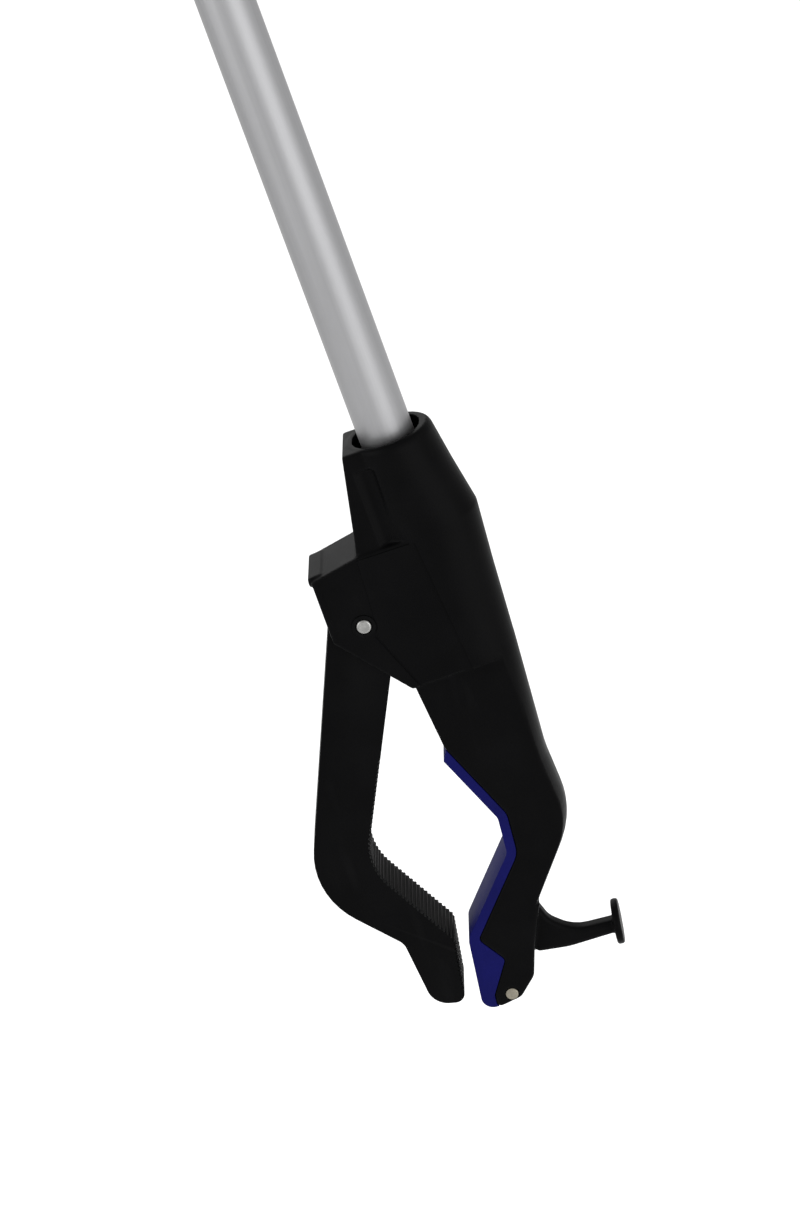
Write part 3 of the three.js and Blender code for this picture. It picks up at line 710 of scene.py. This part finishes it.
handleScrewZ = -45
screws = {
    "recess": 0.6, "slotHalf": 0.35,
    "shell": {"radius": 1.5, "length": 18, "headRadius": 3, "headThickness": 2},
    "tube": {"radius": 1.3, "headRadius": 2.8, "headThickness": 1.5, "end": 7.6},
    "shellPlaces": [(22.5, -18.5), (18.5, 28), (-34, 66), (-57, 83.5)], "shellTop": 12,
    # name, z, top, CAD node
    "intoTube": [("socketScrew", headZ / mm + housing["screwZ"], 14, "socket_screw"),
                 ("handleTubeScrew", handleScrewZ, 12.5, "handle_tube_screw")],
}


# A screw along Y with its head's top at a given y, and a cross in the head.
def makeScrew(name, place, top, radius, length, headRadius, headThickness):
    neck = top - headThickness
    body = turned(name, [(radius * 0.6, neck - length), (radius, neck - length + radius), (radius, neck),
                         (headRadius, neck), (headRadius, top - 0.6), (headRadius - 0.25, top - 0.25),
                         (headRadius - 0.9, top)], place)
    reach = headRadius * screws["recess"]
    floor = top - headThickness * screws["recess"]
    for wide, tall in ((reach, screws["slotHalf"]), (screws["slotHalf"], reach)):
        cut(body, block("recess", (place[0] - wide, floor, place[1] - tall),
                        (place[0] + wide, top + 1, place[1] + tall)))
    smooth(body, 30)
    return body


def makeScrews():
    places = screws["shellPlaces"]
    first = makeScrew("handleScrew1", places[0], screws["shellTop"], **screws["shell"])
    for number, place in enumerate(places[1:], 2):
        copy = copyOf(first)
        copy.name = f"handleScrew{number}"
        shift = Vector(place) - Vector(places[0])
        copy.data.transform(Matrix.Translation((shift.x * mm, 0, shift.y * mm)))
        finish(copy, steel, "frame", f"handle_screw_{number}")
    finish(first, steel, "frame", "handle_screw_1")
    size = dict(screws["tube"])
    end = size.pop("end")
    for name, z, top, node in screws["intoTube"]:
        screw = makeScrew(name, (0, z), top, length=top - size["headThickness"] - end, **size)
        finish(screw, steel, "frame", node)


makeScrews()
print("screws made")


triggerPivot = (26, 0)
grip = {
    "half": 13, "back": [(16, 45, 16), (-74, 112, 10)], "thickness": 28, "left": -16.5, "rounding": 4.5,
    "noseHalf": 14.6, "noseZ": -50, "noseTop": -26, "noseRadius": 5.2, "noseInside": 3.6,
    "neck": [(17.5, -30, 8), (37.5, -13, 12), (37.5, 12, 16)],
    "wall": 2.7, "edgeWall": 3.3, "seam": 0.03, "bossRadius": 4.7, "pinBossRadius": 5, "pinBossFrom": 8.8,
    "pinHole": (2.8, 11.3), "tubeSeat": (9.8, -27.7), "rodWay": 7.5, "mouthDepth": 4.7, "mouthLow": 3.5,
    "hangPlace": (-76, 97), "hangHole": 4.5, "hangSleeve": 6.7,
    "shank": 1.8, "shankEnd": -8.3, "screwSeat": (3.3, 9.7), "tubeShank": 1.6, "tubeScrewSeat": (3.1, 10.7),
    "ribStart": 16, "ribPitch": 4.2, "ribEnd": 90, "ribRadius": 1.5, "ribShift": (0.5, 0.7),
    "inlayEdge": 6.5, "inlayRadius": 6, "inlayDepth": 0.5, "inlaySpan": (4, -58), "inlayRounding": 0.3,
}
gripLean = math.atan2(grip["back"][1][1] - grip["back"][0][1], grip["back"][0][0] - grip["back"][1][0])


def gripFrontZ(x, distance=0.0):
    onBack = grip["back"][0][1] + (grip["back"][0][0] - x) * math.tan(gripLean)
    return onBack - (grip["thickness"] + distance) / math.cos(gripLean)


def gripBackZ(x):
    return gripFrontZ(x, -grip["thickness"])


# The long recess on each side of the grip.
def inlayCorners():
    near, far = grip["inlaySpan"]
    radius = grip["inlayRadius"]
    edge = grip["inlayEdge"] / math.cos(gripLean)
    across = (grip["thickness"] - 2 * grip["inlayEdge"]) * math.sin(gripLean)
    back = [(x, gripBackZ(x) - edge, radius) for x in (near, far)]
    front = [(x, gripFrontZ(x) + edge, radius) for x in (far - across, near - across)]
    return back + front


def handleCorners(nose):
    left, noseHalf, noseZ = grip["left"], grip["noseHalf"], grip["noseZ"]
    endX = grip["back"][1][0] - grip["thickness"] * math.sin(gripLean)
    return [(-noseHalf, noseZ, nose), (noseHalf, noseZ, nose), *grip["neck"], *grip["back"],
            (endX, gripFrontZ(endX), 9), (left, gripFrontZ(left), 6), (left, grip["noseTop"], 5)]


# The outer body of one shell, hollowed, with the bosses that meet those of the other shell.
def shellBody(name, span):
    half, seam = grip["half"], grip["seam"]
    inner = half - grip["wall"]
    wall = inner + 0.5                # the bosses reach into the wall, so that they join it
    body = plate(name, handleCorners(grip["noseRadius"]), -half, half, 0, grip["rounding"], 5)
    low, high = span(-50, seam)
    cut(body, block("otherHalf", (-200, low, -200), (200, high, 200)))
    hollow = plate("hollow", inset(handleCorners(grip["noseInside"]), grip["edgeWall"]), -inner, inner)
    cut(hollow, block("below", (-200, -50, -200), (200, 50, grip["noseTop"])))
    cut(body, hollow)
    for place in screws["shellPlaces"]:
        join(body, rodAlongY("boss", place, grip["bossRadius"], *span(seam, wall)))
    pinBoss = rodAlongY("pinBoss", triggerPivot, grip["pinBossRadius"], *span(grip["pinBossFrom"], wall))
    sleeve = rodAlongY("sleeve", grip["hangPlace"], grip["hangSleeve"], *span(seam, wall))
    return join(body, pinBoss, sleeve)


def cutRibs(body):
    back = [Vector(corner[:2]) for corner in grip["back"]]
    for spot in walk(back, grip["ribStart"], grip["ribPitch"]):
        if (spot - back[0]).length < grip["ribEnd"]:
            place = spot + Vector(grip["ribShift"])
            cut(body, rodAlongY("rib", place, grip["ribRadius"], -beyond, beyond, 0, 20))


# The heads of the screws are on the far shell, at side 1.
def cutScrewHoles(body, side):
    for place in screws["shellPlaces"]:
        if side > 0:
            seatRadius, seatFloor = grip["screwSeat"]
            cut(body, rodAlongY("shank", place, grip["shank"], 0, beyond),
                rodAlongY("seat", place, seatRadius, seatFloor, beyond))
        else:
            cut(body, rodAlongY("shank", place, grip["shank"], grip["shankEnd"], 0))
    if side > 0:
        seatRadius, seatFloor = grip["tubeScrewSeat"]
        cut(body, rodAlongY("tubeShank", (0, handleScrewZ), grip["tubeShank"], 0, beyond),
            rodAlongY("tubeSeat", (0, handleScrewZ), seatRadius, seatFloor, beyond))


def makeShell(name, side, node):
    def span(near, far):
        return (near, far) if side > 0 else (-far, -near)

    body = shellBody(name, span)
    inner = grip["half"] - grip["wall"]
    left, noseZ, noseTop = grip["left"], grip["noseZ"], grip["noseTop"]
    tubeRadius, tubeTop = grip["tubeSeat"]
    pinRadius, pinFar = grip["pinHole"]
    cut(body, block("mouth", (left - 10, -inner, noseTop),
                    (left + grip["mouthDepth"], inner, gripFrontZ(left) - grip["mouthLow"])),
        rodAlongZ("tubeSeat", tubeRadius, noseZ - 1, tubeTop),
        rodAlongZ("rodWay", grip["rodWay"], noseZ - 1, noseTop + 1),
        rodAlongY("pivotHole", triggerPivot, pinRadius, *span(0, pinFar)),
        rodAlongY("hangHole", grip["hangPlace"], grip["hangHole"], -beyond, beyond))
    inlaySpan = span(grip["half"] - grip["inlayDepth"], beyond)
    cut(body, plate("inlay", inlayCorners(), *inlaySpan, 0, grip["inlayRounding"], 2))
    cutRibs(body)
    cutScrewHoles(body, side)
    smooth(body, 30)
    finish(body, blackPlastic, "frame", node)


makeShell("nearHandleShell", -1, "near_handle_shell")
makeShell("farHandleShell", 1, "far_handle_shell")


trigger = {
    "swing": 20.273, "half": 8.5, "depth": 13, "clearance": 5, "start": -34, "length": 82, "rounding": 3,
    "frontRise": 1, "endSlope": 3, "waist": (2.5, 60), "webInto": 12, "webHalfHeight": 4.3, "webMargin": 2,
    "hubRadius": 8, "pinHole": 2.8, "hollow": 15, "hollowDepth": 3.4, "hollowsAt": (-52, -74, -96),
    "grain": 0.6, "passes": 6,
}


# Modelled with its lever level, and then turned to its place.
def makeTrigger():
    link = middleOf("trigger_link_pin") - Vector(triggerPivot)
    reach = link.length
    rest = math.atan2(link.y, -link.x)
    rise = gripLean - trigger["swing"] * degree
    half, left = trigger["half"], grip["left"]
    front = Vector((left - triggerPivot[0], gripFrontZ(left, trigger["clearance"])))
    front.rotate(Matrix.Rotation(trigger["swing"] * degree, 2))
    depth = trigger["depth"] / math.cos(rise)
    start, end = trigger["start"], trigger["start"] - trigger["length"]

    def backZ(x):
        return front.y + (front.x - x) * math.tan(rise)

    middle = (start + end) / 2
    waistDepth, waistRadius = trigger["waist"]
    finger = plate("fingerTrigger", [
        (start, backZ(start) - depth + trigger["frontRise"], 4), (start, backZ(start), 4),
        (end, backZ(end), 6), (end - trigger["endSlope"], backZ(end) - depth, 5),
        (middle, backZ(middle) - depth + waistDepth, waistRadius),
    ], -half, half, 0, trigger["rounding"], 5)
    webEnd = start - trigger["webInto"]
    height, margin = trigger["webHalfHeight"], trigger["webMargin"]
    web = plate("web", [(-reach, -height), (-reach, height), (webEnd, backZ(webEnd) - margin, 2),
                        (webEnd, backZ(webEnd) - depth + margin, 2)], -lever["half"], lever["half"])
    hub = rodAlongY("hub", (0, 0), trigger["hubRadius"], -half, half)
    join(finger, makeLever((0, 0), (-reach, 0)), web, hub)
    hollow = trigger["hollow"]
    for x in trigger["hollowsAt"]:
        centre = (x, backZ(x) - depth + trigger["hollowDepth"] - hollow)
        cut(finger, rodAlongY("fingerHollow", centre, hollow, -beyond, beyond, 0, 96))
    cut(finger, rodAlongY("pinHole", (0, 0), trigger["pinHole"], -beyond, beyond),
        rodAlongY("linkHole", (-reach, 0), lever["linkHole"], -beyond, beyond))
    soften(finger, trigger["grain"], trigger["passes"])
    shift = Matrix.Translation((triggerPivot[0] * mm, 0, triggerPivot[1] * mm))
    finger.data.transform(shift @ Matrix.Rotation(rest, 4, "Y"))
    pick(finger)
    bpy.ops.object.shade_smooth()
    finish(finger, blackPlastic, "trigger", "trigger")


makeTrigger()
print("handle made")


# CAD pieces that stay as they are, with finishes of their own.
kept = {
    "jaw_link_pin": steel, "trigger_link_pin": steel, "trigger_pivot_pin": steel, "spring_seat": steel,
    "return_spring": drawnSteel, "pull_rod": drawnSteel, "rear_rod_guide": whitePlastic,
    "front_rod_guide": whitePlastic, "spring_collar": whitePlastic, "jaw_rod_fork": whitePlastic,
    "trigger_rod_fork": whitePlastic,
}
for node, material in kept.items():
    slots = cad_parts[node].data.materials
    slots.clear()
    slots.append(material)


# The camera leans over the socket's mouth, a little to its right and below it, in metres.
studio = {
    "elevation": 25.13, "lean": 18.82, "lens": 134.4, "distance": 1.523, "right": 0.005, "down": 0.0581,
    "floorDrop": 0.45, "floorSize": 80, "paper": ((0.9, 0.9, 0.9), (0.93, 0.93, 0.93)), "world": 0.92,
    "aimDrop": 0.08, "sunFrom": (-0.3, 0.9, 1.5), "sunPower": 1, "sunAngle": 50, "farthest": 50,
    "lights": [
        # name, place, size, power
        ("keyLight", (0.75, -0.9, -0.5), 1.1, 9),
        ("fillLight", (-1.1, -0.9, 0.15), 1.2, 13),
        ("sideLight", (1.5, -0.2, 0.2), 0.9, 2.5),
        ("rimLight", (-0.2, 1.3, 0.25), 0.8, 3),
    ],
}


def makeStudio():
    selectNone()
    floorZ = cadBox[0][2] - studio["floorDrop"]
    bpy.ops.mesh.primitive_plane_add(size=studio["floorSize"], location=(0, 0, floorZ))
    floor = settle("floor")
    coat = Coat("palePaper", Roughness=0.9)
    coat.set("Base Color", coat.mix(coat.noise(3, 2), *studio["paper"]))
    floor.data.materials.append(coat.material)
    world = bpy.data.worlds.new("studioWorld")
    world.use_nodes = True
    sky = world.node_tree.nodes["Background"].inputs
    sky["Color"].default_value = (1, 1, 1, 1)
    sky["Strength"].default_value = studio["world"]
    bpy.context.scene.world = world
    aim = Vector((0, 0, headZ - studio["aimDrop"]))
    for name, place, size, power in studio["lights"]:
        spot = Vector(place)
        bpy.ops.object.light_add(type="AREA", location=spot)
        light = bpy.context.object
        light.name = name
        light.data.size = size
        light.data.energy = power
        light.rotation_euler = (aim - spot).to_track_quat("-Z", "Y").to_euler()
        light.visible_camera = False
    bpy.ops.object.light_add(type="SUN", location=studio["sunFrom"])
    sun = bpy.context.object
    sun.name = "softSun"
    sun.data.energy = studio["sunPower"]
    sun.data.angle = studio["sunAngle"] * degree
    sun.rotation_euler = (-Vector(studio["sunFrom"])).to_track_quat("-Z", "Y").to_euler()


def makeCamera():
    turn = (Matrix.Rotation(studio["lean"] * degree, 3, "Y")
            @ Matrix.Rotation((90 - studio["elevation"]) * degree, 3, "X"))
    right, up, back = (turn.col[i] for i in range(3))
    place = (Vector((0, 0, headZ)) + right * studio["right"] - up * studio["down"]
             + back * studio["distance"])
    bpy.ops.object.camera_add(location=place, rotation=turn.to_euler())
    camera = bpy.context.object
    camera.data.lens = studio["lens"]
    camera.data.clip_end = studio["farthest"]
    bpy.context.scene.camera = camera


makeStudio()
makeCamera()
bpy.context.scene.view_settings.view_transform = "Standard"
print("studio ready")
